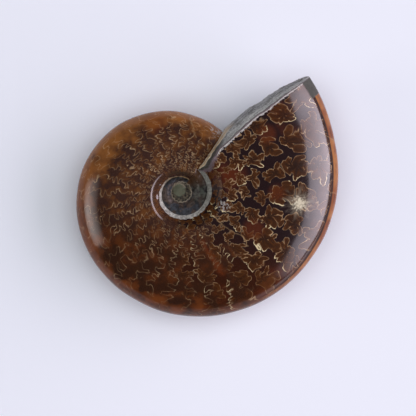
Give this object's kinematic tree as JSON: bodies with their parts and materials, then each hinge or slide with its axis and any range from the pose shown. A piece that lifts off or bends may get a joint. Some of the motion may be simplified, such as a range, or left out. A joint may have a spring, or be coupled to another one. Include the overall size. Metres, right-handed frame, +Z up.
{
  "type": "ammonite fossil",
  "caption": "Coiled ammonite fossil, polished brown calcite with frilled suture patterns and a grey rock-filled lip, lying on one flank.",
  "frame": {"origin": "middle of the bounding box at the surface the fossil lies on", "axes": "+X along the longest extent, towards the lip's side; +Z up out of the upper flank, the shortest extent"},
  "size_m": [0.055, 0.0504, 0.0167],
  "materials": {
    "polished_fossil": "polished"
  },
  "bodies": {
    "root": {"ammonite": "polished_fossil"}
  },
  "joints": []
}
